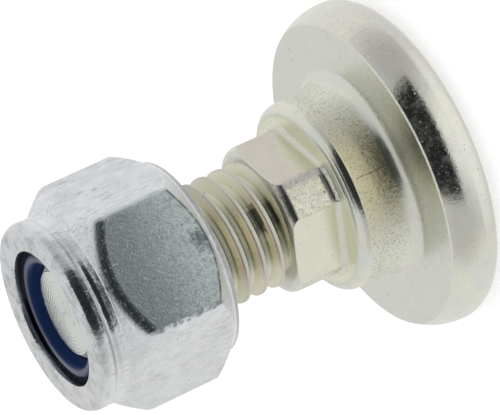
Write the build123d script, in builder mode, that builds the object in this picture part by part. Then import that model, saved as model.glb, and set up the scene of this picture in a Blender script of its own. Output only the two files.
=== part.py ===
from build123d import *
import math
import os

# Sizes are in millimetres. The bolt stands on its head, with the origin at the centre of
# the head's outer face and +Z running up the shank to the nut.

# Screw thread: right-hand, M12 x 1.75
thread_pitch = 1.75
thread_crest_radius = 5.85
thread_depth = 0.95
flank_angle = 30.0
thread_crest_land = 0.30
thread_clearance = 0.10

# Head: a thick round disc with a sharp edge under it and a full rim that bulges past it
head_radius = 15.5
head_thickness = 5.1
rim_bulge = 1.0
face_rounding = 2.0

# Shoulder: the short journal on which the blade swings, flaring into the head. Its radius
# is 9 mm, which is the step more than the neck measures over its corners
shoulder_step = 2.0
shoulder_height = 5.7
shoulder_root_width = 1.2
shoulder_root_height = 2.4
shoulder_end_rounding = 0.9

# Square neck with its corners turned down: 12 mm across flats and 14 mm over its corners
neck_flat_stand = 0.15
neck_corner_stand = 1.0
neck_height = 5.0
neck_root_fillet = 0.6
neck_end_rounding = 0.8

# Shank: the thread's first groove starts inside the neck's end, and the tip is a cone
shank_length = 30.85
thread_start_depth = 1.8
tip_face_inset = 0.95

# Nylon ring round the thread, held in the nut's collar
insert_wall = 1.82
insert_running_clearance = 0.08
insert_fit_clearance = 0.03
insert_crown_rounding = 0.4

# Crimped collar of the nut, with places measured down from its lip
collar_wall = 1.12
collar_height = 2.6
collar_cone_angle = 43.0
collar_edge_rounding = 1.4
collar_crown_width = 0.45
collar_crown_drop = 0.9
collar_groove_drop = 1.65
collar_groove_depth = 0.10
collar_groove_width = 0.8
lip_overhang = 1.4
lip_thickness = 0.55
lip_edge_rounding = 0.3
insert_seat_depth = 4.3

# Lock nut: its flats stand outside the collar by a step, which makes it 19 mm across
nut_flat_step = 0.6
nut_height = 13.7
nut_edge_rounding = 0.9
nut_turn = 45.0
tip_recess = 1.45
washer_face_step = 0.4
washer_face_height = 0.45
seat_chamfer_angle = 45.0
bore_countersink_width = 0.35

# Radii that follow, from the thread outwards
thread_root_radius = thread_crest_radius - thread_depth
tip_face_radius = thread_root_radius - tip_face_inset
neck_across_flats = 2 * (thread_crest_radius + neck_flat_stand)
neck_corner_radius = neck_across_flats / 2 + neck_corner_stand
shoulder_radius = neck_corner_radius + shoulder_step
underside_radius = head_radius - rim_bulge
insert_bore_radius = thread_crest_radius + insert_running_clearance
insert_outer_radius = insert_bore_radius + insert_wall
pocket_radius = insert_outer_radius + insert_fit_clearance
lip_radius = insert_outer_radius - lip_overhang
collar_radius = pocket_radius + collar_wall
collar_crown_radius = collar_radius - collar_crown_width
nut_across_flats = 2 * (collar_radius + nut_flat_step)
nut_corner_radius = nut_across_flats / math.sqrt(3)
washer_face_radius = nut_across_flats / 2 - washer_face_step
bore_countersink_radius = thread_crest_radius + bore_countersink_width

# Heights that follow, from the head upwards
shoulder_top = head_thickness + shoulder_height
neck_top = shoulder_top + neck_height
tip_height = head_thickness + shank_length
lip_height = tip_height + tip_recess
nut_seat_height = lip_height - nut_height
insert_seat = lip_height - insert_seat_depth

# A thread's ridge reaches this far into the core that carries it
thread_overlap = 0.12
# Round blanks that a thread is cut from or trimmed to stand this far clear of it
blank_clearance = 0.4
envelope_radius = thread_crest_radius + blank_clearance
bore_core_radius = thread_root_radius - blank_clearance
# The tap's crest is wider than the shank's, so that each flank stands off by the clearance
tap_crest_land = thread_crest_land + 2 * thread_clearance * (
    1 / math.cos(math.radians(flank_angle)) - math.tan(math.radians(flank_angle))
)


def screw_thread(root_radius, crest_radius, crest_land, base_height, turns):
    """Make a core with a helical ridge of trapezoid section that starts at a height."""
    run = (crest_radius - root_radius + thread_overlap) * math.tan(math.radians(flank_angle))
    half_crest = crest_land / 2
    half_root = half_crest + run
    with BuildPart() as screw:
        with BuildSketch(Plane.XY.offset(base_height)):
            Circle(root_radius)
        extrude(amount=turns * thread_pitch)
        with BuildLine() as helix:
            Helix(
                pitch=thread_pitch,
                height=turns * thread_pitch,
                radius=crest_radius,
                center=(0, 0, base_height),
            )
        with BuildSketch(Plane.XZ):
            with BuildLine():
                Polyline(
                    (root_radius - thread_overlap, base_height - half_root),
                    (crest_radius, base_height - half_crest),
                    (crest_radius, base_height + half_crest),
                    (root_radius - thread_overlap, base_height + half_root),
                    close=True,
                )
            make_face()
        sweep(path=helix.line, is_frenet=True)
    return screw.part


# Threaded shank, pointed by a cone at its end
shank_base = neck_top - thread_start_depth
shank_turns = math.ceil((tip_height - shank_base) / thread_pitch) + 1
shank_screw = screw_thread(
    thread_root_radius,
    thread_crest_radius,
    thread_crest_land,
    shank_base,
    shank_turns,
)

with BuildPart() as threaded_shank:
    add(shank_screw)
    with BuildSketch(Plane.XZ):
        with BuildLine():
            Polyline(
                (0, shank_base),
                (envelope_radius, shank_base),
                (envelope_radius, tip_height - (envelope_radius - tip_face_radius)),
                (tip_face_radius, tip_height),
                (0, tip_height),
                close=True,
            )
        make_face()
    revolve(axis=Axis.Z, mode=Mode.INTERSECT)

with BuildPart() as neck_envelope:
    with BuildSketch(Plane.XZ):
        with BuildLine():
            Polyline(
                (neck_corner_radius - neck_end_rounding, neck_top),
                (0, neck_top),
                (0, shoulder_top - shoulder_end_rounding),
                (neck_corner_radius, shoulder_top - shoulder_end_rounding),
                (neck_corner_radius, neck_top - neck_end_rounding),
            )
            RadiusArc(
                (neck_corner_radius, neck_top - neck_end_rounding),
                (neck_corner_radius - neck_end_rounding, neck_top),
                -neck_end_rounding,
            )
        make_face()
    revolve(axis=Axis.Z)

with BuildPart() as square_neck:
    with BuildSketch(Plane.XY.offset(shoulder_top - shoulder_end_rounding)):
        Rectangle(neck_across_flats, neck_across_flats)
    extrude(amount=neck_height + shoulder_end_rounding)
    add(neck_envelope.part, mode=Mode.INTERSECT)

with BuildPart() as blade_bolt:
    with BuildSketch(Plane.XZ):
        with BuildLine():
            Line((0, 0), (head_radius - face_rounding, 0))
            RadiusArc(
                (head_radius - face_rounding, 0),
                (head_radius, face_rounding),
                -face_rounding,
            )
            TangentArc(
                (head_radius, face_rounding),
                (underside_radius, head_thickness),
                tangent=(0, 1),
            )
            Line(
                (underside_radius, head_thickness),
                (shoulder_radius + shoulder_root_width, head_thickness),
            )
            EllipticalCenterArc(
                (shoulder_radius + shoulder_root_width, head_thickness + shoulder_root_height),
                shoulder_root_width,
                shoulder_root_height,
                start_angle=180,
                arc_size=90,
            )
            Line(
                (shoulder_radius, head_thickness + shoulder_root_height),
                (shoulder_radius, shoulder_top - shoulder_end_rounding),
            )
            RadiusArc(
                (shoulder_radius, shoulder_top - shoulder_end_rounding),
                (shoulder_radius - shoulder_end_rounding, shoulder_top),
                -shoulder_end_rounding,
            )
            Polyline(
                (shoulder_radius - shoulder_end_rounding, shoulder_top),
                (0, shoulder_top),
                (0, 0),
            )
        make_face()
    revolve(axis=Axis.Z)
    add(square_neck.part)
    shoulder_end_edges = blade_bolt.edges().filter_by_position(Axis.Z, shoulder_top, shoulder_top)
    neck_root_edges = shoulder_end_edges.filter_by(lambda edge: edge.length < neck_across_flats)
    fillet(neck_root_edges, radius=neck_root_fillet)
    add(threaded_shank.part)

# Lock nut: a hexagon turned down to a collar, then tapped
with BuildPart() as nut_envelope:
    seat_cone_rise = (nut_corner_radius - washer_face_radius) * math.tan(math.radians(seat_chamfer_angle))
    collar_base = lip_height - collar_height
    groove_height = lip_height - collar_groove_drop
    cone_fall = (nut_corner_radius - collar_radius) * math.tan(math.radians(collar_cone_angle))
    with BuildSketch(Plane.XZ):
        with BuildLine():
            Polyline(
                (0, nut_seat_height),
                (washer_face_radius, nut_seat_height),
                (washer_face_radius, nut_seat_height + washer_face_height),
                (nut_corner_radius, nut_seat_height + washer_face_height + seat_cone_rise),
                (nut_corner_radius, collar_base - cone_fall),
                (collar_radius, collar_base),
                (collar_radius, groove_height - collar_groove_width / 2),
            )
            ThreePointArc(
                (collar_radius, groove_height - collar_groove_width / 2),
                (collar_radius - collar_groove_depth, groove_height),
                (collar_radius, groove_height + collar_groove_width / 2),
            )
            Line(
                (collar_radius, groove_height + collar_groove_width / 2),
                (collar_radius, lip_height - collar_crown_drop),
            )
            EllipticalCenterArc(
                (collar_crown_radius, lip_height - collar_crown_drop),
                collar_radius - collar_crown_radius,
                collar_crown_drop,
                arc_size=90,
            )
            Polyline(
                (collar_crown_radius, lip_height),
                (0, lip_height),
                (0, nut_seat_height),
            )
        make_face()
    revolve(axis=Axis.Z)

# The tap that cuts the nut's bore: the shank's thread, larger all round by the clearance,
# starting a whole number of turns up the shank so that the two threads run together
pitches_below_seat = math.floor((nut_seat_height - shank_base) / thread_pitch) - 1
tap_base = shank_base + pitches_below_seat * thread_pitch
tap_turns = math.ceil((insert_seat - tap_base) / thread_pitch) + 1
tap = screw_thread(
    thread_root_radius + thread_clearance,
    thread_crest_radius + thread_clearance,
    tap_crest_land,
    tap_base,
    tap_turns,
)

with BuildPart() as lock_nut:
    with BuildSketch(Plane.XY.offset(nut_seat_height)) as hexagon:
        RegularPolygon(
            radius=nut_across_flats / 2,
            side_count=6,
            major_radius=False,
            rotation=nut_turn,
        )
        fillet(hexagon.vertices(), radius=nut_edge_rounding)
    extrude(amount=nut_height)
    add(nut_envelope.part, mode=Mode.INTERSECT)
    # Where the six flats run out into the cone below the collar, their edge is rolled over
    nut_middle_height = nut_seat_height + nut_height / 2
    scalloped_edges = lock_nut.edges().filter_by(
        lambda edge: edge.center().Z > nut_middle_height
        and edge.geom_type not in (GeomType.LINE, GeomType.CIRCLE, GeomType.ELLIPSE)
    )
    fillet(scalloped_edges, radius=collar_edge_rounding)
    with BuildSketch(Plane.XZ):
        with BuildLine():
            Polyline(
                (lip_radius + lip_edge_rounding, lip_height),
                (0, lip_height),
                (0, nut_seat_height),
                (bore_countersink_radius, nut_seat_height),
                (bore_core_radius, nut_seat_height + bore_countersink_radius - bore_core_radius),
                (bore_core_radius, insert_seat),
                (pocket_radius, insert_seat),
                (pocket_radius, lip_height - lip_thickness),
                (lip_radius, lip_height - lip_thickness),
                (lip_radius, lip_height - lip_edge_rounding),
            )
            RadiusArc(
                (lip_radius, lip_height - lip_edge_rounding),
                (lip_radius + lip_edge_rounding, lip_height),
                lip_edge_rounding,
            )
        make_face()
    revolve(axis=Axis.Z, mode=Mode.SUBTRACT)
    add(tap, mode=Mode.SUBTRACT)

# Nylon insert: a plain ring that the thread's crests have pushed open
with BuildPart() as nylon_insert:
    insert_top = lip_height - lip_thickness - insert_fit_clearance
    insert_bottom = insert_seat + insert_fit_clearance
    with BuildSketch(Plane.XZ):
        with BuildLine():
            Polyline(
                (insert_bore_radius, insert_top - insert_crown_rounding),
                (insert_bore_radius, insert_bottom),
                (insert_outer_radius, insert_bottom),
                (insert_outer_radius, insert_top),
                (insert_bore_radius + insert_crown_rounding, insert_top),
            )
            RadiusArc(
                (insert_bore_radius + insert_crown_rounding, insert_top),
                (insert_bore_radius, insert_top - insert_crown_rounding),
                -insert_crown_rounding,
            )
        make_face()
    revolve(axis=Axis.Z)

blade_bolt.part.label = "blade_bolt"
lock_nut.part.label = "lock_nut"
nylon_insert.part.label = "nylon_insert"

os.makedirs("parts", exist_ok=True)
export_step(blade_bolt.part, "parts/blade_bolt.step")
export_step(lock_nut.part, "parts/lock_nut.step")
export_step(nylon_insert.part, "parts/nylon_insert.step")

for piece in (blade_bolt.part, lock_nut.part, nylon_insert.part):
    print(piece.label, "valid:", piece.is_valid, "volume:", round(piece.volume, 1))
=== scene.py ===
import bpy
import math
from mathutils import Matrix, Vector
from types import SimpleNamespace


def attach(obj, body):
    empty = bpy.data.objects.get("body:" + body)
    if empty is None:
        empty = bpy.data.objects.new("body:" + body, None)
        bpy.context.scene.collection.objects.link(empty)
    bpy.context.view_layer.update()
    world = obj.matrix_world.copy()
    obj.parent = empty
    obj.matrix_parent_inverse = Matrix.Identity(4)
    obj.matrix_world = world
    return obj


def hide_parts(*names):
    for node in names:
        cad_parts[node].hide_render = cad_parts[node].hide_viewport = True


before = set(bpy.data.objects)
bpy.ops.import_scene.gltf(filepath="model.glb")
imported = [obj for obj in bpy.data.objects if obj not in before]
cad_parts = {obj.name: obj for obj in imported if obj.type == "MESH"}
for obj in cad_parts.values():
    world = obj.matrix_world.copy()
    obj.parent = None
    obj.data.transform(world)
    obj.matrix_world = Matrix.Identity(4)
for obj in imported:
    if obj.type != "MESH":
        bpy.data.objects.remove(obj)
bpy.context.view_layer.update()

MM = 0.001

# Camera: the bolt stands on its head and is seen from above the nut, with a steep roll
CAMERA_AIM = (1.736 * MM, 0.335 * MM, 16.373 * MM)
CAMERA_DISTANCE = 397.18 * MM
CAMERA_AZIMUTH = -48.933
CAMERA_ELEVATION = 21.749
CAMERA_ROLL = 114.934
LENS = 324.0
SENSOR_WIDTH = 36.0
CLIP_START = 0.01
CLIP_END = 20


def heading(azimuth, elevation):
    """Unit vector that points at an azimuth and an elevation, in degrees."""
    az = math.radians(azimuth)
    el = math.radians(elevation)
    return Vector((math.cos(el) * math.cos(az), math.cos(el) * math.sin(az), math.sin(el)))


def span(node):
    """Lowest and highest point of a CAD node at rest, in millimetres."""
    heights = [vertex.co.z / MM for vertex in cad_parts[node].data.vertices]
    return min(heights), max(heights)


# Heights and radii on the bolt, in millimetres
HEAD_THICKNESS = 5.1
UNDERSIDE_RADIUS = 14.5
SHOULDER_TOP = 10.8
ANNULUS_RADIUS = 8.1
NECK_TOP = 15.8
NECK_HALF_WIDTH = 6.0
NECK_CORNER_RADIUS = 7.0
CREST_RADIUS = 5.85
ROOT_RADIUS = 4.9
TIP_HEIGHT = span("blade_bolt")[1]

# Heights and radii on the nut, and the way its middle flat faces
NUT_SEAT, LIP_HEIGHT = span("lock_nut")
MIDDLE_FLAT_AZIMUTH = -45.0
NUT_HALF_WIDTH = 9.5
NUT_FLAT_HALF_LENGTH = 5.3
COLLAR_RADIUS = 8.9
WASHER_RADIUS = 9.1
WASHER_HEIGHT = 0.45


def add_camera():
    data = bpy.data.cameras.new("camera")
    camera = bpy.data.objects.new("camera", data)
    bpy.context.collection.objects.link(camera)
    back = heading(CAMERA_AZIMUTH, CAMERA_ELEVATION)
    level_right = Vector((0, 0, 1)).cross(back).normalized()
    level_up = back.cross(level_right)
    roll = math.radians(CAMERA_ROLL)
    up = level_up * math.cos(roll) + level_right * math.sin(roll)
    right = up.cross(back)
    place = Vector(CAMERA_AIM) + back * CAMERA_DISTANCE
    turn = Matrix((right, up, back)).transposed().to_4x4()
    camera.matrix_world = Matrix.Translation(place) @ turn
    data.lens = LENS
    data.sensor_width = SENSOR_WIDTH
    data.clip_start = CLIP_START
    data.clip_end = CLIP_END
    bpy.context.scene.camera = camera


# Node helpers


class Tree:
    """Short names for the nodes of one material or world."""

    def __init__(self, owner):
        owner.use_nodes = True
        self.tree = owner.node_tree
        self.nodes = self.tree.nodes
        self.nodes.clear()

    def add(self, kind, **settings):
        node = self.nodes.new(kind)
        for name, value in settings.items():
            setattr(node, name, value)
        return node

    def feed(self, socket, value):
        """Link a node's socket, or set a plain value. A colour gets its alpha here."""
        if isinstance(value, bpy.types.NodeSocket):
            self.tree.links.new(value, socket)
            return
        if isinstance(value, tuple) and len(value) < len(socket.default_value):
            value = (*value, 1)
        socket.default_value = value

    def math(self, operation, a, b=0.0, c=0.0):
        node = self.add("ShaderNodeMath", operation=operation)
        for socket, value in zip(node.inputs, (a, b, c)):
            self.feed(socket, value)
        return node.outputs[0]

    def times(self, first, *others):
        for other in others:
            first = self.math("MULTIPLY", first, other)
        return first

    def plus(self, first, *others):
        for other in others:
            first = self.math("ADD", first, other)
        return first

    def minus(self, a, b):
        return self.math("SUBTRACT", a, b)

    def most(self, first, *others):
        for other in others:
            first = self.math("MAXIMUM", first, other)
        return first

    def rest(self, share):
        """What is left of one."""
        return self.minus(1, share)

    def shake(self, value, noise, reach):
        """Move a value to and fro with a noise."""
        return self.plus(value, self.times(noise, reach))

    def vector(self, operation, a, b=(0, 0, 0)):
        node = self.add("ShaderNodeVectorMath", operation=operation)
        self.feed(node.inputs[0], a)
        self.feed(node.inputs[1], b)
        if operation in ("DOT_PRODUCT", "LENGTH"):
            return node.outputs["Value"]
        return node.outputs["Vector"]

    def join(self, x, y, z):
        node = self.add("ShaderNodeCombineXYZ")
        for socket, value in zip(node.inputs, (x, y, z)):
            self.feed(socket, value)
        return node.outputs[0]

    def ramp(self, value, low, high, to_low=0.0, to_high=1.0):
        """Carry a value smoothly from one range to another, held at both ends."""
        node = self.add("ShaderNodeMapRange", interpolation_type="SMOOTHSTEP")
        for socket, number in zip(node.inputs, (value, low, high, to_low, to_high)):
            self.feed(socket, number)
        return node.outputs[0]

    def band(self, value, low, high, soft):
        """One between two values, nought outside, with soft borders."""
        rise = self.ramp(value, low - soft, low + soft)
        fall = self.ramp(value, high + soft, high - soft)
        return self.times(rise, fall)

    def mix(self, factor, a, b):
        """Mix two colours."""
        node = self.add("ShaderNodeMix", data_type="RGBA")
        self.feed(node.inputs[0], factor)
        self.feed(node.inputs[6], a)
        self.feed(node.inputs[7], b)
        return node.outputs[2]

    def coat(self, below, where, layer):
        """Lay a layer over a colour where a mask says so. A layer is a colour and its cover."""
        colour, cover = layer
        return self.mix(self.times(where, cover), below, colour)

    def blend(self, factor, a, b):
        """Mix two plain values."""
        node = self.add("ShaderNodeMix", data_type="FLOAT")
        self.feed(node.inputs[0], factor)
        self.feed(node.inputs[2], a)
        self.feed(node.inputs[3], b)
        return node.outputs[0]

    def noise(self, place, scale, detail, roughness, stretch=(1, 1, 1), distortion=0.0):
        if stretch != (1, 1, 1):
            place = self.vector("MULTIPLY", place, stretch)
        node = self.add("ShaderNodeTexNoise")
        self.feed(node.inputs["Vector"], place)
        node.inputs["Scale"].default_value = scale
        node.inputs["Detail"].default_value = detail
        node.inputs["Roughness"].default_value = roughness
        node.inputs["Distortion"].default_value = distortion
        return node.outputs["Fac"]

    def patches(self, place, pattern, **shape):
        """Patches of a noise: its scale, detail and roughness, then the levels it fades between."""
        scale, detail, roughness, *levels = pattern
        return self.ramp(self.noise(place, scale, detail, roughness, **shape), *levels)

    def specks(self, place, spacing, size, share):
        """Round specks: one in a share of the cells, up to a size across, in millimetres."""
        node = self.add("ShaderNodeTexVoronoi")
        self.feed(node.inputs["Vector"], place)
        node.inputs["Scale"].default_value = 1 / spacing
        split = self.add("ShaderNodeSeparateColor")
        self.feed(split.inputs[0], node.outputs["Color"])
        chosen = self.math("LESS_THAN", split.outputs[0], share)
        reach = self.ramp(split.outputs[1], 0, 1, size / spacing * 0.2, size / spacing * 0.55)
        near = self.rest(self.math("DIVIDE", node.outputs["Distance"], reach))
        return self.times(chosen, self.ramp(near, 0, 0.5))

    def bump(self, height, depth, normal=None):
        """Raise the surface by a height of nought to one, times a depth in millimetres."""
        node = self.add("ShaderNodeBump")
        node.inputs["Strength"].default_value = 1
        node.inputs["Distance"].default_value = depth * MM
        self.feed(node.inputs["Height"], height)
        if normal is not None:
            self.feed(node.inputs["Normal"], normal)
        return node.outputs["Normal"]

    def spot(self):
        """The point on the object in millimetres: whole, in parts, and as radius and azimuth."""
        node = self.add("ShaderNodeTexCoord")
        place = self.vector("MULTIPLY", node.outputs["Object"], (1 / MM, 1 / MM, 1 / MM))
        split = self.add("ShaderNodeSeparateXYZ")
        self.feed(split.inputs[0], place)
        x, y, z = split.outputs
        radius = self.math("SQRT", self.plus(self.times(x, x), self.times(y, y)))
        azimuth = self.times(self.math("ARCTAN2", y, x), 180 / math.pi)
        return SimpleNamespace(place=place, x=x, y=y, z=z, radius=radius, azimuth=azimuth)

    def facing_up(self):
        """How far the surface faces up the axis, from minus one to one."""
        split = self.add("ShaderNodeSeparateXYZ")
        self.feed(split.inputs[0], self.add("ShaderNodeTexCoord").outputs["Normal"])
        return split.outputs[2]


def new_material(name):
    material = bpy.data.materials.new(name)
    return material, Tree(material)


def finish_surface(tree, **inputs):
    """Close a material with one shader, whose sockets are set or linked by name."""
    shader = tree.add("ShaderNodeBsdfPrincipled")
    for name, value in inputs.items():
        tree.feed(shader.inputs[name.replace("_", " ")], value)
    output = tree.add("ShaderNodeOutputMaterial")
    tree.feed(output.inputs["Surface"], shader.outputs[0])


# World, dark card and floor

# Soft patches of the surroundings: azimuth, elevation, reach in degrees, brightness added
SKY_LEVEL = 0.82
SKY_TINT = (0.985, 0.995, 1.0)
SKY_PATCHES = (
    (75, 5, 60, 0.12),
    (-105, 10, 45, -0.20),
    (8, 5, 50, -0.28),
    (-50, -50, 65, 0.24),
    (-165, -12, 55, 0.09),
)
WHITE = (1, 1, 1)

# Dark card beside the camera, seen in the plating's reflections only
CARD_AZIMUTH = -50.0
CARD_DISTANCE = 75 * MM
CARD_SHIFT = 6 * MM
CARD_HALF_WIDTH = 72 * MM
CARD_BOTTOM = 1 * MM
CARD_TOP = 230 * MM
CARD_SIDE_FADE = 18 * MM
CARD_BOTTOM_FADE = 6 * MM
CARD_TOP_FADE = 60 * MM
CARD_BLACK = (0.018, 0.021, 0.022)

# Floor: a hair below the head's face, lifted to white for the camera except in the shadow
FLOOR_HALF_WIDTH = 1.5
FLOOR_HEIGHT = -0.02 * MM
FLOOR_COLOUR = (0.9, 0.9, 0.9)
FLOOR_LIFT = 0.42


def add_world():
    world = bpy.data.worlds.new("studio")
    bpy.context.scene.world = world
    tree = Tree(world)
    direction = tree.add("ShaderNodeTexCoord").outputs["Generated"]
    level = SKY_LEVEL
    for azimuth, elevation, reach, extra in SKY_PATCHES:
        nearness = tree.vector("DOT_PRODUCT", direction, tuple(heading(azimuth, elevation)))
        patch = tree.ramp(nearness, math.cos(math.radians(reach)), 1.0, 0.0, extra)
        level = tree.plus(level, patch)
    rays = tree.add("ShaderNodeLightPath")
    seen = tree.add("ShaderNodeBackground")
    tree.feed(seen.inputs["Color"], WHITE)
    lit = tree.add("ShaderNodeBackground")
    tree.feed(lit.inputs["Color"], SKY_TINT)
    tree.feed(lit.inputs["Strength"], level)
    mixed = tree.add("ShaderNodeMixShader")
    tree.feed(mixed.inputs[0], rays.outputs["Is Camera Ray"])
    tree.feed(mixed.inputs[1], lit.outputs[0])
    tree.feed(mixed.inputs[2], seen.outputs[0])
    output = tree.add("ShaderNodeOutputWorld")
    tree.feed(output.inputs["Surface"], mixed.outputs[0])


def add_sheet(name, corners):
    """Add a flat four-cornered sheet to the scene."""
    mesh = bpy.data.meshes.new(name)
    mesh.from_pydata(corners, [], [(0, 1, 2, 3)])
    sheet = bpy.data.objects.new(name, mesh)
    bpy.context.collection.objects.link(sheet)
    return sheet


def add_dark_card():
    """A matt black card with soft edges that stands in the reflections and nowhere else."""
    out = heading(CARD_AZIMUTH, 0)
    side = Vector((-out.y, out.x, 0))
    up = Vector((0, 0, 1))
    foot = out * CARD_DISTANCE + side * CARD_SHIFT
    corners = [
        foot - side * CARD_HALF_WIDTH + up * CARD_BOTTOM,
        foot + side * CARD_HALF_WIDTH + up * CARD_BOTTOM,
        foot + side * CARD_HALF_WIDTH + up * CARD_TOP,
        foot - side * CARD_HALF_WIDTH + up * CARD_TOP,
    ]
    card = add_sheet("dark_card", corners)
    card.visible_camera = False
    card.visible_diffuse = False
    card.visible_shadow = False
    card.visible_transmission = False
    material, tree = new_material("matt_black_card")
    place = tree.add("ShaderNodeTexCoord").outputs["Object"]
    along = tree.vector("DOT_PRODUCT", place, tuple(side))
    across = tree.math("ABSOLUTE", tree.minus(along, CARD_SHIFT))
    height = tree.vector("DOT_PRODUCT", place, tuple(up))
    sides = tree.ramp(across, CARD_HALF_WIDTH, CARD_HALF_WIDTH - CARD_SIDE_FADE)
    bottom = tree.ramp(height, CARD_BOTTOM, CARD_BOTTOM + CARD_BOTTOM_FADE)
    top = tree.ramp(height, CARD_TOP, CARD_TOP - CARD_TOP_FADE)
    clear = tree.add("ShaderNodeBsdfTransparent")
    black = tree.add("ShaderNodeEmission")
    tree.feed(black.inputs["Color"], CARD_BLACK)
    mixed = tree.add("ShaderNodeMixShader")
    tree.feed(mixed.inputs[0], tree.times(sides, bottom, top))
    tree.feed(mixed.inputs[1], clear.outputs[0])
    tree.feed(mixed.inputs[2], black.outputs[0])
    output = tree.add("ShaderNodeOutputMaterial")
    tree.feed(output.inputs["Surface"], mixed.outputs[0])
    card.data.materials.append(material)


def add_floor():
    """A pale floor that takes the shadow and isn't seen in the plating."""
    half = FLOOR_HALF_WIDTH
    corners = [
        (-half, -half, FLOOR_HEIGHT),
        (half, -half, FLOOR_HEIGHT),
        (half, half, FLOOR_HEIGHT),
        (-half, half, FLOOR_HEIGHT),
    ]
    floor = add_sheet("floor", corners)
    material, tree = new_material("pale_floor")
    rays = tree.add("ShaderNodeLightPath")
    diffuse = tree.add("ShaderNodeBsdfDiffuse")
    tree.feed(diffuse.inputs["Color"], FLOOR_COLOUR)
    lift = tree.add("ShaderNodeEmission")
    tree.feed(lift.inputs["Color"], WHITE)
    tree.feed(lift.inputs["Strength"], tree.times(rays.outputs["Is Camera Ray"], FLOOR_LIFT))
    both = tree.add("ShaderNodeAddShader")
    tree.feed(both.inputs[0], diffuse.outputs[0])
    tree.feed(both.inputs[1], lift.outputs[0])
    clear = tree.add("ShaderNodeBsdfTransparent")
    mixed = tree.add("ShaderNodeMixShader")
    tree.feed(mixed.inputs[0], rays.outputs["Is Glossy Ray"])
    tree.feed(mixed.inputs[1], both.outputs[0])
    tree.feed(mixed.inputs[2], clear.outputs[0])
    output = tree.add("ShaderNodeOutputMaterial")
    tree.feed(output.inputs["Surface"], mixed.outputs[0])
    floor.data.materials.append(material)


# Bolt plating: zinc with a pale cream-green passivate

# Faint scored arc on the neck's upper flat: centre along y and z, radius, and where it ends
ARC_CENTRE = (-1.29, 6.3)
ARC_RADIUS = 6.7
ARC_END = (-3.2, -2.2)

# Shoulder wall, whose worked ends lean: where each lean starts, how far it goes and how steeply
WALL_START = 6.2
FLARE_START = 8.2
FLARE_LEAN = 0.22
FLARE_SOFTNESS = 0.7
END_START = 9.84
END_REACH = 0.6
END_LEAN = 0.25

# Scratch along the wall
SCRATCH_AZIMUTH = -49.65
SCRATCH_END = 9.4

# Turning rings on the tip
RING_PITCH = 0.36

# Sectors about the axis, in degrees: start, end and softness
PINK_SECTOR = (-22, 14, 12)
REFLECTION_STREAK_SECTOR = (-54, -41, 9)
GOLD_SECTOR = (-80, -20, 25)
WALL_FRONT_SECTOR = (-85, -5, 25)
BORDER_SECTOR = (-36, -30, 3)
DARK_REFLECTION_SECTOR = (-60, -30, 7)
CORNER_SECTOR = (-57, -36, 3)

# Where the thread's sides begin about the axis, and where they are full, in degrees
UPPER_SIDE_START = (-45, 0)
LOWER_SIDE_START = (-72, -108)

# Noises: scale per millimetre, detail and roughness
BOLT_GRAIN = (9, 4, 0.6)
BOLT_WEAR = (2.2, 4, 0.65)
BOLT_CLOUDS = (0.3, 4, 0.6)
THREAD_DRIFT = (1.0, 2, 0.5)

# Patches: the same, then the levels they fade between and, where needed, the values they reach
PINK_CLOUDS = (0.26, 3, 0.5, 0.54, 0.70)
PINK_SWIRL = 0.6
GREEN_CLOUDS = (0.24, 3, 0.5, 0.5, 0.68)
CORNER_BLOTS = (1.6, 4, 0.7, 0.45, 0.6)
CORNER_SPECKLES = (6.0, 3, 0.7, 0.50, 0.64)
WALL_GRAINS = (5.5, 3, 0.7, 0.50, 0.66)
DARK_MARKS = (1.5, 5, 0.75, 0.635, 0.69)
RIM_FLECKS = (4.2, 4, 0.7, 0.61, 0.69)
RIM_HAZE = (1.3, 4, 0.65, 0.42, 0.72, 0.0, 0.12)
BOLT_GLOSS = (0.8, 4, 0.6, 0.3, 0.7, 0.24, 0.33)

# Specks and pits: spacing, size and share
BOLT_SPECKS = (1.1, 0.26, 0.3)
SMALL_PITS = (0.6, 0.26, 0.22)
LARGE_PITS = (1.3, 0.4, 0.12)

# Film colours
CREAM = (0.71, 0.71, 0.645)
WARM_CREAM = (0.745, 0.73, 0.62)
CLOUD_PINK = (0.70, 0.63, 0.60)
NECK_LILAC = (0.67, 0.62, 0.56)
NECK_ROSE = (0.69, 0.645, 0.55)
CORNER_DULL = (0.64, 0.62, 0.50)
CORNER_BRIGHT = (0.80, 0.78, 0.62)
FLANK_GOLD = (0.74, 0.64, 0.39)
FLANK_OLIVE = (0.66, 0.63, 0.42)
CREST_PINK = (0.78, 0.62, 0.52)
CREST_AMBER = (0.74, 0.66, 0.50)
TIP_GREY = (0.72, 0.74, 0.69)
# Painted dark reflection where the thread starts, and dark patches at the neck corner's ends
DARK_REFLECTION_AND_PATCH = (0.045, 0.043, 0.038)
# Pale lines, and the painted highlight along the head's edge
PALE_LINE_AND_HIGHLIGHT = (0.86, 0.87, 0.77)
RUBBED_RIM = (0.66, 0.65, 0.61)

# Layers: a colour, and how much of what lies below it covers
CLOUD_GREEN = ((0.67, 0.71, 0.66), 0.6)
UNDERSIDE_CREAM = ((0.72, 0.725, 0.67), 0.6)
# Painted dark reflection across the head's underside
UNDERSIDE_PAINTED_REFLECTION = ((0.36, 0.40, 0.40), 0.6)
WALL_GOLD = ((0.72, 0.66, 0.40), 0.85)
WALL_SIDE_CREAM = ((0.82, 0.83, 0.71), 0.7)
ANNULUS_YELLOW = ((0.90, 0.90, 0.68), 0.8)
NECK_OLIVE = ((0.69, 0.68, 0.53), 0.8)
LOWER_FLAT_CREAM = ((0.83, 0.80, 0.66), 0.9)
# Painted shade, lilac grey, along the neck corner's border with the flat
CORNER_BORDER_SHADE = ((0.42, 0.38, 0.40), 0.6)
CORNER_SPECKLE = ((0.26, 0.24, 0.27), 0.6)
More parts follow.
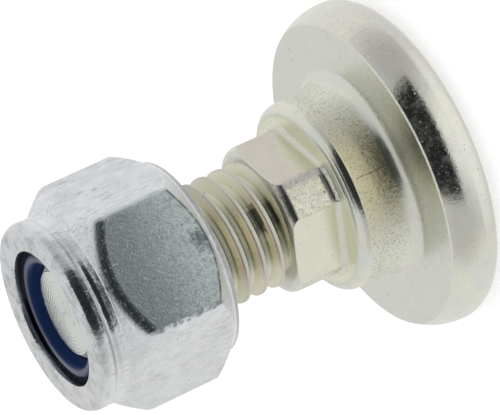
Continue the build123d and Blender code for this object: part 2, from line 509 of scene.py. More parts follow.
# Painted light: paler film on the thread's upper and lower sides
THREAD_UPPER_SIDE_PAINTED_LIGHT = ((0.97, 0.97, 0.80), 0.7)
THREAD_LOWER_SIDE_PAINTED_LIGHT = ((1.0, 0.96, 0.78), 0.75)
# Painted shade in the thread's root
THREAD_ROOT_SHADE = ((0.15, 0.17, 0.11), 0.75)
THREAD_UNDERSIDE = ((0.60, 0.61, 0.56), 0.8)
THREAD_CREST = ((0.64, 0.65, 0.59), 0.8)
# Painted dark reflection along the crest's edge
CREST_EDGE_REFLECTION = ((0.12, 0.12, 0.10), 0.75)
SCRATCH_BROWN = ((0.1, 0.09, 0.07), 0.75)
WALL_GRAIN = ((0.24, 0.22, 0.13), 0.55)
BOLT_DIRT = ((0.17, 0.16, 0.13), 0.65)
NECK_COVER = 0.9
THREAD_COVER = 0.92

# Roughness of each place
RIM_ROUGHNESS = 0.10
THREAD_ROUGHNESS = 0.19
WALL_ROUGHNESS = 0.34
SHOULDER_END_ROUGHNESS = 0.2
RUBBED_ROUGHNESS = 0.5

# Depths of the relief, in millimetres
PIT_DEPTH = 0.022
BOLT_GRAIN_DEPTH = 0.014
RING_DEPTH = 0.006


def bolt_textures(tree, spot):
    """Noises that several layers share, from fine to coarse."""
    worn = tree.noise(spot.place, *BOLT_WEAR)
    return SimpleNamespace(
        grain=tree.noise(spot.place, *BOLT_GRAIN),
        worn=worn,
        ragged=tree.times(tree.minus(worn, 0.5), 0.9),
        cloud=tree.noise(spot.place, *BOLT_CLOUDS),
    )


def bolt_regions(tree, spot, texture):
    """Masks that say where on the bolt a point lies."""
    x, y, z, radius = spot.x, spot.y, spot.z, spot.radius
    outside_edge = tree.ramp(radius, UNDERSIDE_RADIUS - 0.1, UNDERSIDE_RADIUS + 0.1)
    over_rim = tree.ramp(z, HEAD_THICKNESS - 0.15, HEAD_THICKNESS - 0.05)
    near_shoulder_top = tree.band(z, SHOULDER_TOP - 0.1, SHOULDER_TOP + 0.04, 0.03)
    neck = tree.band(z, SHOULDER_TOP + 0.1, NECK_TOP, 0.1)
    on_upper_flat = tree.ramp(x, NECK_HALF_WIDTH - 0.06, NECK_HALF_WIDTH - 0.01)
    on_lower_flat = tree.ramp(y, 0.06 - NECK_HALF_WIDTH, 0.01 - NECK_HALF_WIDTH)
    on_corner = tree.ramp(radius, NECK_CORNER_RADIUS - 0.1, NECK_CORNER_RADIUS - 0.02)
    facing = tree.facing_up()
    upper_side = tree.ramp(spot.azimuth, *UPPER_SIDE_START)
    lower_side = tree.ramp(spot.azimuth, *LOWER_SIDE_START)
    crest_reach = tree.shake(radius, texture.ragged, 0.05)
    return SimpleNamespace(
        rim=tree.times(outside_edge, tree.ramp(z, HEAD_THICKNESS + 0.1, HEAD_THICKNESS)),
        underside=tree.times(over_rim, tree.ramp(z, HEAD_THICKNESS + 0.3, HEAD_THICKNESS + 0.1)),
        wall=tree.band(z, WALL_START, END_START, 0.3),
        shoulder_end=tree.band(z, END_START, SHOULDER_TOP - 0.02, 0.1),
        annulus=tree.times(near_shoulder_top, tree.ramp(radius, ANNULUS_RADIUS + 0.1, ANNULUS_RADIUS - 0.1)),
        neck=neck,
        upper_flat=tree.times(neck, on_upper_flat),
        lower_flat=tree.times(neck, on_lower_flat),
        corner=tree.times(neck, on_corner),
        thread=tree.ramp(z, NECK_TOP - 0.02, NECK_TOP + 0.02),
        tip_cone=tree.ramp(z, TIP_HEIGHT - 1.15, TIP_HEIGHT - 0.95),
        tip=tree.ramp(z, TIP_HEIGHT - 0.07, TIP_HEIGHT - 0.01),
        upper_side=upper_side,
        lower_side=lower_side,
        front=tree.times(tree.rest(upper_side), tree.rest(lower_side)),
        upward=tree.ramp(facing, 0.3, 0.6),
        downward=tree.ramp(facing, -0.2, -0.5),
        crest_reach=crest_reach,
        crest=tree.ramp(crest_reach, CREST_RADIUS - 0.07, CREST_RADIUS - 0.02),
    )


def scored_arc(tree, spot):
    """Distance from the centre of the scored arc on the neck."""
    across = tree.plus(spot.y, -ARC_CENTRE[0])
    along = tree.plus(spot.z, -ARC_CENTRE[1])
    return tree.vector("LENGTH", tree.join(across, along, 0))


def bolt_head_and_shoulder_film(tree, spot, texture, on):
    """Cream, with faint yellow, pink and blue-green clouds, a painted dark reflection across the underside,
    and gold on the wall's front.
    """
    place, azimuth = spot.place, spot.azimuth
    film = tree.mix(tree.ramp(texture.cloud, 0.42, 0.62), CREAM, WARM_CREAM)
    pinks = tree.patches(place, PINK_CLOUDS, distortion=PINK_SWIRL)
    pink_end = tree.times(on.rim, tree.band(azimuth, *PINK_SECTOR), tree.ramp(texture.worn, 0.35, 0.6), 0.9)
    film = tree.mix(tree.most(tree.times(pinks, 0.6), pink_end), film, CLOUD_PINK)
    elsewhere = tree.vector("ADD", place, (31, 7, 11))
    greens = tree.patches(elsewhere, GREEN_CLOUDS)
    film = tree.coat(film, greens, CLOUD_GREEN)
    film = tree.coat(film, on.underside, UNDERSIDE_CREAM)
    # Painted dark reflection across the underside, in a sector about the axis
    ragged_azimuth = tree.shake(azimuth, texture.ragged, 6)
    reflected_streak = tree.times(on.underside, tree.band(ragged_azimuth, *REFLECTION_STREAK_SECTOR))
    film = tree.coat(film, reflected_streak, UNDERSIDE_PAINTED_REFLECTION)
    film = tree.coat(film, tree.times(on.wall, tree.band(azimuth, *GOLD_SECTOR)), WALL_GOLD)
    wall_side = tree.times(on.wall, tree.rest(tree.band(azimuth, *WALL_FRONT_SECTOR)))
    film = tree.coat(film, wall_side, WALL_SIDE_CREAM)
    return tree.coat(film, on.annulus, ANNULUS_YELLOW)


def neck_film(tree, spot, texture, on, film, arc):
    """Lilac upper flat, olive inside the scored arc, cream lower flat, speckled corner, and painted shade
    along the corner's border with the flat.
    """
    inside_arc = tree.ramp(arc, ARC_RADIUS + 0.1, ARC_RADIUS - 0.2)
    flat_film = tree.mix(tree.ramp(texture.worn, 0.35, 0.65), NECK_LILAC, NECK_ROSE)
    flat_film = tree.coat(flat_film, inside_arc, NECK_OLIVE)
    film = tree.coat(film, on.upper_flat, (flat_film, NECK_COVER))
    film = tree.coat(film, on.lower_flat, LOWER_FLAT_CREAM)
    corner_blots = tree.patches(spot.place, CORNER_BLOTS)
    corner_film = tree.mix(corner_blots, CORNER_DULL, CORNER_BRIGHT)
    film = tree.coat(film, on.corner, (corner_film, NECK_COVER))
    ragged_azimuth = tree.shake(spot.azimuth, texture.ragged, 8)
    # Painted shade along the corner's border
    border = tree.times(on.neck, tree.band(ragged_azimuth, *BORDER_SECTOR))
    return tree.coat(film, border, CORNER_BORDER_SHADE)


def thread_film(tree, spot, texture, on):
    """Painted shade, dark green, in the root, gold on the flank, pink beside the crest with a thin painted
    dark reflection at its edge, pale on the crest, and painted light on the upper and lower sides.
    """
    radius, ragged = spot.radius, texture.ragged
    drift = tree.noise(tree.join(tree.times(spot.z, 0.8), tree.times(spot.azimuth, 0.03), 0), *THREAD_DRIFT)
    drift = tree.ramp(drift, 0.4, 0.6)
    gold = tree.mix(drift, FLANK_GOLD, FLANK_OLIVE)
    pink = tree.mix(drift, CREST_PINK, CREST_AMBER)
    outward = tree.ramp(tree.shake(radius, ragged, 0.15), CREST_RADIUS - 0.55, CREST_RADIUS - 0.2)
    film = tree.mix(outward, gold, pink)
    # Painted light on the upper and lower sides
    film = tree.coat(film, on.upper_side, THREAD_UPPER_SIDE_PAINTED_LIGHT)
    film = tree.coat(film, on.lower_side, THREAD_LOWER_SIDE_PAINTED_LIGHT)
    # Painted shade in the root, on the front only
    root_shade = tree.ramp(tree.shake(radius, ragged, 0.2), ROOT_RADIUS + 0.3, ROOT_RADIUS + 0.08)
    film = tree.coat(film, tree.times(root_shade, on.front), THREAD_ROOT_SHADE)
    film = tree.coat(film, on.downward, THREAD_UNDERSIDE)
    film = tree.coat(film, on.crest, THREAD_CREST)
    # Painted dark reflection beside the crest, on upward faces in front
    beside_crest = tree.band(on.crest_reach, CREST_RADIUS - 0.16, CREST_RADIUS - 0.06, 0.03)
    crest_reflection = tree.times(on.upward, beside_crest, on.front)
    return tree.coat(film, crest_reflection, CREST_EDGE_REFLECTION)


def bolt_dark_reflections_and_patches(tree, spot, texture, on):
    """Two patches of painted dark reflection where the thread starts, and thin dark patches at the ends of
    the neck's corner.
    """
    z, radius, azimuth, ragged = spot.z, spot.radius, spot.azimuth, texture.ragged
    # Painted dark reflection where the thread starts, in a sector about the axis
    sweep = tree.band(tree.shake(azimuth, ragged, 20), *DARK_REFLECTION_SECTOR)
    ragged_z = tree.shake(z, ragged, 0.5)
    near_height = tree.band(ragged_z, NECK_TOP + 0.3, NECK_TOP + 0.8, 0.15)
    near_patch = tree.times(near_height, tree.ramp(radius, ROOT_RADIUS + 0.4, ROOT_RADIUS + 0.2), 0.85)
    far_height = tree.band(ragged_z, NECK_TOP + 1.75, NECK_TOP + 2.5, 0.15)
    far_patch = tree.times(far_height, tree.ramp(radius, ROOT_RADIUS + 0.65, ROOT_RADIUS + 0.5), 0.93)
    thread_start = tree.times(sweep, tree.plus(near_patch, far_patch), on.thread)
    end_height = tree.shake(z, ragged, 0.4)
    neck_end = tree.times(tree.band(end_height, NECK_TOP - 0.24, NECK_TOP - 0.08, 0.05), 0.55)
    root_height = tree.shake(z, ragged, 0.6)
    neck_root = tree.times(tree.band(root_height, SHOULDER_TOP + 0.3, SHOULDER_TOP + 0.85, 0.12), 0.8)
    across_corner = tree.band(tree.shake(azimuth, ragged, 12), *CORNER_SECTOR)
    near_corner = tree.ramp(radius, NECK_CORNER_RADIUS - 0.55, NECK_CORNER_RADIUS - 0.4)
    corner_end = tree.times(across_corner, tree.plus(neck_end, neck_root), near_corner)
    return tree.math("MINIMUM", tree.plus(thread_start, corner_end), 1)


def bolt_marks(tree, spot, on, film):
    """Speckle on the neck's corner, a scratch and fine grain on the wall, and dirt."""
    place = spot.place
    speckle = tree.times(on.corner, tree.patches(place, CORNER_SPECKLES))
    film = tree.coat(film, speckle, CORNER_SPECKLE)
    along_scratch = tree.band(spot.azimuth, SCRATCH_AZIMUTH - 0.25, SCRATCH_AZIMUTH + 0.25, 0.25)
    scratch = tree.times(along_scratch, tree.band(spot.z, WALL_START, SCRATCH_END, 0.2))
    film = tree.coat(film, scratch, SCRATCH_BROWN)
    gold_grain = tree.times(on.wall, tree.patches(place, WALL_GRAINS))
    film = tree.coat(film, gold_grain, WALL_GRAIN)
    marks = tree.patches(place, DARK_MARKS)
    dirt = tree.most(tree.specks(place, *BOLT_SPECKS), tree.times(marks, 0.8))
    return tree.coat(film, dirt, BOLT_DIRT)


def pale_lines_and_painted_light(tree, spot, texture, on, arc):
    """Pale lines along the bolt's edges: a painted highlight along the head's own, then rubbed lines on all
    the others, and painted light over the thread's flanks.
    """
    z, radius, ragged, grain = spot.z, spot.radius, texture.ragged, texture.grain
    ragged_radius = tree.shake(radius, ragged, 0.12)
    # Painted highlight along the head's edge, where the underside meets the rim
    rim_highlight = tree.times(
        tree.band(ragged_radius, UNDERSIDE_RADIUS - 0.04, UNDERSIDE_RADIUS + 0.12, 0.04),
        tree.ramp(z, HEAD_THICKNESS - 0.2, HEAD_THICKNESS - 0.1),
        tree.ramp(grain, 0.35, 0.5, 0.4, 1.0),
    )
    root_edge = tree.times(
        tree.band(tree.shake(z, ragged, 0.3), SHOULDER_TOP + 0.1, SHOULDER_TOP + 0.4, 0.07),
        tree.ramp(texture.worn, 0.3, 0.5),
    )
    top_edge = tree.times(
        tree.band(ragged_radius, ANNULUS_RADIUS - 0.04, ANNULUS_RADIUS + 0.2, 0.05),
        tree.ramp(z, SHOULDER_TOP - 0.2, SHOULDER_TOP - 0.1),
    )
    flare_height = tree.shake(z, ragged, 0.15)
    flare_edge = tree.times(tree.band(flare_height, HEAD_THICKNESS + 0.22, HEAD_THICKNESS + 0.52, 0.1), 0.55)
    arc_line = tree.times(
        on.upper_flat,
        tree.band(tree.shake(arc, ragged, 0.12), ARC_RADIUS - 0.04, ARC_RADIUS + 0.04, 0.03),
        tree.ramp(spot.y, *ARC_END),
    )
    neck_line = tree.times(
        on.neck,
        tree.band(z, NECK_TOP - 0.18, NECK_TOP - 0.02, 0.04),
        tree.ramp(grain, 0.4, 0.55),
        0.7,
    )
    crest_rub = tree.times(on.thread, on.crest, tree.ramp(texture.worn, 0.35, 0.6, 0.3, 0.6))
    # Painted light: the thread's flanks turned pale and matt, most on the upper and lower sides
    side_painted_light = tree.plus(0.15, tree.times(tree.plus(on.upper_side, on.lower_side), 0.75))
    flank_painted_light = tree.times(on.thread, tree.rest(on.tip), side_painted_light)
    annulus_rub = tree.times(on.annulus, 0.4)
    others = (root_edge, top_edge, flare_edge, arc_line, neck_line, crest_rub, flank_painted_light, annulus_rub)
    return rim_highlight, others


def bolt_roughness(tree, spot, on, pale):
    """Bright on the rim, the shoulder's end and the thread, satin elsewhere."""
    rough = tree.patches(spot.place, BOLT_GLOSS)
    rough = tree.blend(on.rim, rough, RIM_ROUGHNESS)
    rough = tree.blend(on.thread, rough, THREAD_ROUGHNESS)
    rough = tree.blend(tree.times(on.wall, 0.6), rough, WALL_ROUGHNESS)
    rough = tree.blend(on.shoulder_end, rough, SHOULDER_END_ROUGHNESS)
    return tree.blend(pale, rough, RUBBED_ROUGHNESS)


def bolt_relief(tree, spot, texture, on):
    """Worked ends of the shoulder wall, pits, grain and turning rings on the tip."""
    place, z = spot.place, spot.z
    grain, worn = texture.grain, texture.worn
    below = tree.minus(FLARE_START, tree.most(z, HEAD_THICKNESS + 0.05))
    below = tree.plus(below, tree.times(texture.ragged, on.wall, 0.2))
    below = tree.math("SMOOTH_MAX", below, 0, FLARE_SOFTNESS)
    beyond = tree.most(tree.math("MINIMUM", tree.minus(z, END_START), END_REACH), 0)
    lean = tree.plus(tree.times(below, FLARE_LEAN), tree.times(beyond, -END_LEAN))
    normal = tree.bump(lean, 1)
    wobble = tree.vector("MULTIPLY", tree.join(worn, grain, texture.cloud), (0.5, 0.5, 0.5))
    warped = tree.vector("ADD", place, wobble)
    small_pits = tree.specks(warped, *SMALL_PITS)
    large_pits = tree.specks(tree.vector("ADD", warped, (5, 3, 1)), *LARGE_PITS)
    normal = tree.bump(tree.times(tree.most(small_pits, large_pits), -1), PIT_DEPTH, normal)
    fine = tree.times(grain, tree.plus(0.4, tree.times(on.wall, 1.6)))
    coarse = tree.times(worn, tree.plus(1, on.wall))
    normal = tree.bump(tree.plus(fine, coarse), BOLT_GRAIN_DEPTH, normal)
    rings = tree.times(on.tip, tree.math("SINE", tree.times(spot.radius, 2 * math.pi / RING_PITCH)))
    return tree.bump(tree.times(rings, tree.ramp(worn, 0.3, 0.6)), RING_DEPTH, normal)


def bolt_plating():
    material, tree = new_material("bolt_plating")
    spot = tree.spot()
    texture = bolt_textures(tree, spot)
    on = bolt_regions(tree, spot, texture)
    arc = scored_arc(tree, spot)

    # Film, painted dark reflections, dark patches and marks
    colour = bolt_head_and_shoulder_film(tree, spot, texture, on)
    colour = neck_film(tree, spot, texture, on, colour, arc)
    colour = tree.coat(colour, on.thread, (thread_film(tree, spot, texture, on), THREAD_COVER))
    colour = tree.mix(on.tip_cone, colour, TIP_GREY)
    dark_reflections_and_patches = bolt_dark_reflections_and_patches(tree, spot, texture, on)
    colour = tree.mix(dark_reflections_and_patches, colour, DARK_REFLECTION_AND_PATCH)
    colour = bolt_marks(tree, spot, on, colour)

    # Rubbed pale edges and specks, with a painted highlight along the head's edge and painted light on the
    # thread's flanks, matt instead of bright
    flecks = tree.patches(spot.place, RIM_FLECKS)
    haze = tree.patches(spot.place, RIM_HAZE)
    rim_highlight, other_edges = pale_lines_and_painted_light(tree, spot, texture, on, arc)
    pale = tree.times(on.rim, tree.plus(tree.times(flecks, 0.6), haze))
    pale = tree.most(pale, rim_highlight, *other_edges)
    pale = tree.times(pale, tree.rest(dark_reflections_and_patches))
    pale_film = tree.mix(tree.times(on.rim, tree.rest(rim_highlight)), PALE_LINE_AND_HIGHLIGHT, RUBBED_RIM)
    pale_film = tree.mix(tree.most(on.thread, on.annulus), pale_film, colour)
    colour = tree.mix(pale, colour, pale_film)

    finish_surface(
        tree,
        Base_Color=colour,
        Metallic=tree.rest(pale),
        Roughness=bolt_roughness(tree, spot, on, pale),
        Normal=bolt_relief(tree, spot, texture, on),
    )
    return material


# Nut plating: bright zinc

# Short die marks are stretched along the axis by these shares of a noise's scale
DIE_STRETCH = (1, 1, 0.14)
DASH_STRETCH = (1, 1, 0.16)

# Smear on the middle flat: across the flat and above the seat, in millimetres
SMEAR_ACROSS = 0.3
SMEAR_HEIGHT = 1.5
SMEAR_REACH = 1.15

# Sector of its front, and where its warm side begins and is full, in degrees
NUT_FRONT_SECTOR = (-95, -5, 15)
WARM_SIDE_START = (-72, -92)

# Noises: scale per millimetre, detail and roughness
DIE_STREAKS = (3.4, 3, 0.6)
NUT_MOTTLE = (3.0, 4, 0.7)
CROSSED_FLECKS = (5.0, 2, 0.5)
EDGE_BREAKS = (1.6, 4, 0.7)
COLLAR_WAVES = (0.9, 3, 0.6)
NUT_SKIN = (5.5, 4, 0.65)

# Patches: the same, then the levels they fade between and, where needed, the values they reach
ZINC_CLOUDS = (0.55, 4, 0.6, 0.35, 0.68)
ZINC_GLINTS = (3.8, 3, 0.6, 0.56, 0.72)
DASH_GROUPS = (0.45, 2, 0.5, 0.44, 0.58)
DASHES = (5.5, 2, 0.5, 0.57, 0.66)
CROWN_BLOTS = (0.9, 5, 0.7, 0.45, 0.68)
NICKS = (4.5, 3, 0.7, 0.6, 0.68)
NUT_GLOSS = (1.2, 4, 0.6, 0.3, 0.7, 0.26, 0.38)

# Specks: spacing, size and share
NUT_SPECKS = (1.0, 0.26, 0.25)

# Colours of the zinc and its marks
ZINC_DULL = (0.69, 0.70, 0.72)
ZINC_PALE = (0.80, 0.81, 0.825)
ZINC_STREAK = (0.58, 0.59, 0.60)
# Painted shade on the bearing end, darker in front
SEAT_PAINTED_SHADE = (0.36, 0.37, 0.36)
FACE_SEAT_END = (0.64, 0.72, 0.71)
FACE_COLLAR_END = (0.38, 0.43, 0.44)
FACE_EDGE = (0.10, 0.12, 0.12)

# Layers: a colour, and how much of what lies below it covers
ZINC_SHINE = ((0.90, 0.91, 0.92), 0.4)
DASH_GREY = ((0.33, 0.33, 0.33), 0.6)
CROWN_GREY = ((0.58, 0.59, 0.605), 0.4)
CROWN_BLOT = ((0.34, 0.35, 0.35), 0.75)
WARM_SIDE = ((0.72, 0.705, 0.67), 0.35)
# Painted shade on the rolled edge, in front
ROLLED_EDGE_SHADE = ((0.26, 0.28, 0.29), 0.6)
WASHER_LINE = ((0.95, 0.96, 0.96), 0.8)
# Painted shade in the collar groove, in front
GROOVE_SHADE = ((0.18, 0.19, 0.19), 0.6)
FACE_MOTTLE = ((0.28, 0.32, 0.33), 0.5)
FACE_SMEAR = ((0.09, 0.10, 0.12), 0.7)
FACE_FLECK = ((0.88, 0.92, 0.91), 0.55)
NUT_DIRT = ((0.14, 0.15, 0.15), 0.55)
FACE_COVER = 0.85

# Roughness of each place
COLLAR_ROUGHNESS = 0.17
FACE_ROUGHNESS = 0.34

# Depths of the relief, in millimetres
STREAK_DEPTH = 0.014
WAVE_DEPTH = 0.045
NICK_DEPTH = 0.014
SKIN_DEPTH = 0.018


def nut_regions(tree, spot):
    """Masks that say where on the nut a point lies, and distances across its middle flat."""
    z, radius = spot.z, spot.radius
    out = heading(MIDDLE_FLAT_AZIMUTH, 0)
    outward = tree.vector("DOT_PRODUCT", spot.place, tuple(out))
    cone_height = tree.plus(radius, NUT_SEAT + WASHER_HEIGHT - WASHER_RADIUS)
    near_collar = tree.ramp(z, LIP_HEIGHT - 2.9, LIP_HEIGHT - 2.6)
    return SimpleNamespace(
        across=tree.vector("DOT_PRODUCT", spot.place, (-out.y, out.x, 0)),
        above_cone=tree.minus(z, cone_height),
        middle=tree.ramp(outward, NUT_HALF_WIDTH - 0.12, NUT_HALF_WIDTH - 0.04),
        collar=tree.times(near_collar, tree.ramp(radius, COLLAR_RADIUS + 0.3, COLLAR_RADIUS + 0.1)),
        crown=tree.ramp(z, LIP_HEIGHT - 1.0, LIP_HEIGHT - 0.3),
        front=tree.band(spot.azimuth, *NUT_FRONT_SECTOR),
    )


def zinc_film(tree, spot, on, streaks):
    """Pale bluish grey, clouded, with short dark die marks along the axis."""
    place = spot.place
    film = tree.mix(tree.patches(place, ZINC_CLOUDS), ZINC_DULL, ZINC_PALE)
    film = tree.mix(tree.ramp(streaks, 0.48, 0.72, 0, 0.5), film, ZINC_STREAK)
    elsewhere = tree.vector("ADD", place, (3, 9, 4))
    shine = tree.patches(elsewhere, ZINC_GLINTS, stretch=DIE_STRETCH)
    film = tree.coat(film, shine, ZINC_SHINE)
    groups = tree.patches(place, DASH_GROUPS)
    dashes = tree.patches(place, DASHES, stretch=DASH_STRETCH)
    film = tree.coat(film, tree.times(groups, dashes), DASH_GREY)
    blots = tree.times(on.crown, tree.patches(place, CROWN_BLOTS))
    film = tree.coat(film, on.crown, CROWN_GREY)
    film = tree.coat(film, blots, CROWN_BLOT)
    return tree.coat(film, tree.ramp(spot.azimuth, *WARM_SIDE_START), WARM_SIDE)


def nut_painted_shade_and_lines(tree, spot, on, mottle, film):
    """Painted shade on the bearing end, the rolled edge and the collar groove in front, with pale lines at
    the seat.
    """
    facing = tree.facing_up()
    # Painted shade on the bearing end, between the nut and the neck, darker in front
    bearing_shade_share = tree.plus(0.25, tree.times(on.front, 0.3))
    bearing_end_shade = tree.times(tree.ramp(on.above_cone, 0.08, 0.02), bearing_shade_share)
    film = tree.mix(bearing_end_shade, film, SEAT_PAINTED_SHADE)
    # Painted shade on the rolled edge beside the middle flat, in front
    rolled = tree.times(
        tree.band(facing, 0.12, 0.55, 0.1),
        tree.band(spot.z, LIP_HEIGHT - 6.2, LIP_HEIGHT - 3.1, 0.2),
        tree.band(on.across, -NUT_FLAT_HALF_LENGTH, NUT_FLAT_HALF_LENGTH, 0.35),
        on.front,
    )
    film = tree.coat(film, rolled, ROLLED_EDGE_SHADE)
    seat_line = tree.band(tree.shake(on.above_cone, mottle, 0.12), 0.02, 0.1, 0.03)
    washer_line = tree.band(tree.shake(spot.z, mottle, 0.12), NUT_SEAT + 0.36, NUT_SEAT + 0.48, 0.04)
    near_seat = tree.ramp(spot.z, NUT_SEAT + 2.4, NUT_SEAT + 2.2)
    film = tree.coat(film, tree.times(tree.most(seat_line, washer_line), near_seat), WASHER_LINE)
    # Painted shade in the downward-facing collar groove, front only
    groove = tree.times(on.collar, tree.ramp(facing, -0.02, -0.2), on.front)
    return tree.coat(film, groove, GROOVE_SHADE)


def crossed_flecks(tree, spot, on):
    """Fine scratches that run three ways over the middle flat."""
    total = tree.plus(on.across, spot.z)
    difference = tree.minus(spot.z, on.across)
    rising = tree.join(tree.times(total, 0.7), tree.times(difference, 0.16), 0)
    falling = tree.join(tree.times(total, 0.16), tree.times(difference, 0.7), 9)
    level = tree.join(tree.times(on.across, 1.0), tree.times(spot.z, 0.22), 5)
    return tree.most(*(tree.noise(run, *CROSSED_FLECKS) for run in (rising, falling, level)))


def middle_flat_film(tree, spot, on, mottle, flecks, film):
    """Greyer and greener, darker toward the collar, smeared, with dark edges and pale flecks."""
    z = spot.z
    face = tree.mix(tree.ramp(z, NUT_SEAT + 1.8, NUT_SEAT + 8.3), FACE_SEAT_END, FACE_COLLAR_END)
    film = tree.coat(film, on.middle, (face, FACE_COVER))
    film = tree.coat(film, tree.times(on.middle, tree.ramp(mottle, 0.44, 0.64)), FACE_MOTTLE)
    smear_across = tree.times(tree.plus(on.across, -SMEAR_ACROSS), 0.8)
    smear_place = tree.join(smear_across, tree.plus(z, -NUT_SEAT - SMEAR_HEIGHT), 0)
    smear = tree.minus(SMEAR_REACH, tree.vector("LENGTH", smear_place))
    smear = tree.ramp(tree.shake(smear, tree.minus(mottle, 0.5), 1.8), 0.0, 0.9)
    film = tree.coat(film, tree.times(smear, on.middle), FACE_SMEAR)
    ragged = tree.noise(spot.place, *EDGE_BREAKS)
    ragged_across = tree.shake(on.across, ragged, 0.5)
    low_edge = tree.times(
        tree.band(ragged_across, -NUT_FLAT_HALF_LENGTH - 0.1, 0.35 - NUT_FLAT_HALF_LENGTH, 0.1),
        tree.ramp(ragged, 0.44, 0.56),
        tree.band(z, NUT_SEAT + 1.8, NUT_SEAT + 8.8, 0.5),
    )
    seat_edge = tree.times(on.middle, tree.ramp(on.above_cone, 0.25, 0.06), tree.ramp(ragged, 0.36, 0.5))
    edges = tree.most(tree.times(low_edge, 0.65), tree.times(seat_edge, 0.75))
    film = tree.mix(edges, film, FACE_EDGE)
    return tree.coat(film, tree.times(on.middle, tree.ramp(flecks, 0.62, 0.74)), FACE_FLECK)


def nut_roughness(tree, spot, on):
    """Satin flats and a brighter collar."""
    rough = tree.patches(spot.place, NUT_GLOSS)
    rough = tree.blend(tree.times(on.collar, 0.8), rough, COLLAR_ROUGHNESS)
    return tree.blend(on.middle, rough, FACE_ROUGHNESS)


def nut_relief(tree, spot, on, streaks, flecks):
    """Die marks, nicks, a mottled skin and waves on the collar."""
    place = spot.place
    normal = tree.bump(tree.times(streaks, -1), STREAK_DEPTH)
    normal = tree.bump(tree.times(on.collar, tree.noise(place, *COLLAR_WAVES)), WAVE_DEPTH, normal)
    nicks = tree.patches(place, NICKS)
    calm = tree.rest(tree.times(on.collar, 0.75))
    normal = tree.bump(tree.times(nicks, calm, -1), NICK_DEPTH, normal)
    skin = tree.plus(tree.noise(place, *NUT_SKIN), tree.times(on.middle, flecks))
    return tree.bump(tree.times(skin, calm), SKIN_DEPTH, normal)


def nut_plating():
    material, tree = new_material("nut_plating")
    spot = tree.spot()
    on = nut_regions(tree, spot)
    streaks = tree.noise(spot.place, *DIE_STREAKS, stretch=DIE_STRETCH)
    mottle = tree.noise(spot.place, *NUT_MOTTLE)
    flecks = crossed_flecks(tree, spot, on)
    colour = zinc_film(tree, spot, on, streaks)
    colour = nut_painted_shade_and_lines(tree, spot, on, mottle, colour)
    colour = middle_flat_film(tree, spot, on, mottle, flecks, colour)
    dirt = tree.specks(spot.place, *NUT_SPECKS)
    colour = tree.coat(colour, dirt, NUT_DIRT)
    finish_surface(
        tree,
        Base_Color=colour,
        Metallic=1.0,
        Roughness=nut_roughness(tree, spot, on),
        Normal=nut_relief(tree, spot, on, streaks, flecks),
    )
    return material


# Nylon

NYLON_DEEP = (0.006, 0.021, 0.080)
NYLON_BRIGHT = (0.010, 0.029, 0.100)
NYLON_SHADE = (0.035, 0.038, 0.075)
# Painted highlight on the crown, paler at the near end
CROWN_HIGHLIGHT_VIOLET = (0.085, 0.09, 0.15)
CROWN_HIGHLIGHT_VIOLET_NEAR = (0.16, 0.17, 0.24)
NYLON_SHEEN = 0.06
CROWN_SHEEN = 0.2

# The painted highlight on the crown runs between two radii and is wider at the near end, along minus x
NEAR_END_START = (-4.2, -5.6)
HIGHLIGHT_INNER_EDGE = (5.0, 5.26)
HIGHLIGHT_OUTER_EDGE = 5.9
HIGHLIGHT_FULL_TO = 5.35
HIGHLIGHT_FULL_TO_NEAR = 5.7
LIP_SHADE_EDGE = (5.7, 5.95)

# Noises and patches, as on the nut
NYLON_CLOUDS = (2.5, 3, 0.5)
NYLON_SKIN = (8, 3, 0.6)
NYLON_SKIN_DEPTH = 0.006
NYLON_GLOSS = (6, 3, 0.5, 0.3, 0.7, 0.28, 0.42)


def blue_nylon():
    """Deep blue moulded nylon: painted shade, black-blue, under the lip, and a painted violet highlight on
    the crown.
    """
    material, tree = new_material("blue_nylon")
    spot = tree.spot()
    colour = tree.mix(tree.noise(spot.place, *NYLON_CLOUDS), NYLON_DEEP, NYLON_BRIGHT)
    # Painted highlight on the crown, wider and paler at the near end
    near_end = tree.ramp(spot.x, *NEAR_END_START)
    highlight_full_to = tree.blend(near_end, HIGHLIGHT_FULL_TO, HIGHLIGHT_FULL_TO_NEAR)
    highlight_fall = tree.ramp(spot.radius, HIGHLIGHT_OUTER_EDGE, highlight_full_to)
    crown = tree.times(tree.ramp(spot.radius, *HIGHLIGHT_INNER_EDGE), highlight_fall)
    colour = tree.mix(crown, colour, tree.mix(near_end, CROWN_HIGHLIGHT_VIOLET, CROWN_HIGHLIGHT_VIOLET_NEAR))
    # Painted shade under the lip, outside a radius
    shade = tree.ramp(spot.radius, *LIP_SHADE_EDGE)
    colour = tree.mix(shade, colour, NYLON_SHADE)
    gloss = tree.plus(NYLON_SHEEN, tree.times(crown, CROWN_SHEEN), tree.times(shade, NYLON_SHEEN))
    rough = tree.patches(spot.place, NYLON_GLOSS)
    normal = tree.bump(tree.noise(spot.place, *NYLON_SKIN), NYLON_SKIN_DEPTH)
    finish_surface(tree, Base_Color=colour, Roughness=rough, Specular_IOR_Level=gloss, Normal=normal)
    return material


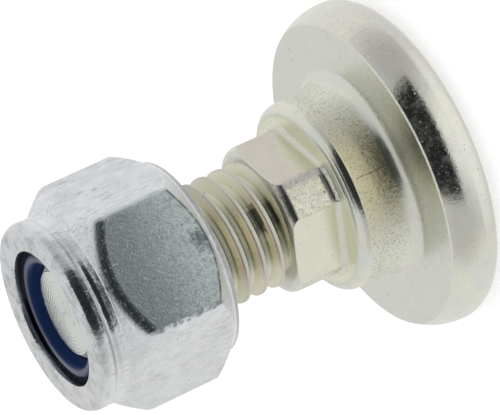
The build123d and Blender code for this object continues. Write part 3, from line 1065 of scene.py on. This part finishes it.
def lathe(name, profile, segments=192):
    """Turn a closed profile of (radius, height) points, in millimetres, about the axis."""
    points = []
    faces = []
    count = len(profile)
    for step in range(segments):
        angle = 2 * math.pi * step / segments
        for radius, height in profile:
            points.append((radius * math.cos(angle) * MM, radius * math.sin(angle) * MM, height * MM))
        for k in range(count):
            here = step * count
            there = (step + 1) % segments * count
            after = (k + 1) % count
            faces.append((here + k, here + after, there + after, there + k))
    mesh = bpy.data.meshes.new(name)
    mesh.from_pydata(points, [], faces)
    mesh.validate()
    for face in mesh.polygons:
        face.use_smooth = True
    piece = bpy.data.objects.new(name, mesh)
    bpy.context.collection.objects.link(piece)
    return piece


# Nylon ring: radius and depth under the lip, from the rounded crown in to the throat
RING_OUTER_RADIUS = 7.7
RING_OUTER_TOP = 0.95
RING_BOTTOM = 4.25
RING_BORE_RADIUS = 5.95
THROAT_RADIUS = 4.66
THROAT_TOP = 1.85
THROAT_BOTTOM = 2.0
THROAT_CONE_BOTTOM = 3.5
CROWN_CENTRE = (5.42, 1.28)
CROWN_RADIUS = 0.60
CROWN_START = -62
CROWN_END = 72
CROWN_STEPS = 14


def add_nylon_ring():
    depths = [
        (RING_OUTER_RADIUS, RING_OUTER_TOP),
        (RING_OUTER_RADIUS, RING_BOTTOM),
        (RING_BORE_RADIUS, RING_BOTTOM),
        (RING_BORE_RADIUS, THROAT_CONE_BOTTOM),
        (THROAT_RADIUS, THROAT_BOTTOM),
        (THROAT_RADIUS, THROAT_TOP),
    ]
    for k in range(CROWN_STEPS + 1):
        angle = math.radians(CROWN_END + (CROWN_START - CROWN_END) * k / CROWN_STEPS)
        radius = CROWN_CENTRE[0] - CROWN_RADIUS * math.sin(angle)
        depth = CROWN_CENTRE[1] - CROWN_RADIUS * math.cos(angle)
        depths.append((radius, depth))
    profile = [(radius, LIP_HEIGHT - depth) for radius, depth in depths]
    ring = lathe("nylon_ring", profile)
    ring.data.materials.append(blue_nylon())
    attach(ring, "insert")
    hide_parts("nylon_insert")


def dress(node, material):
    """Give a CAD node a better material in its own slots."""
    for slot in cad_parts[node].material_slots:
        slot.material = material


add_camera()
add_world()
add_dark_card()
add_floor()
dress("blade_bolt", bolt_plating())
dress("lock_nut", nut_plating())
add_nylon_ring()

bpy.context.scene.view_settings.view_transform = "Standard"
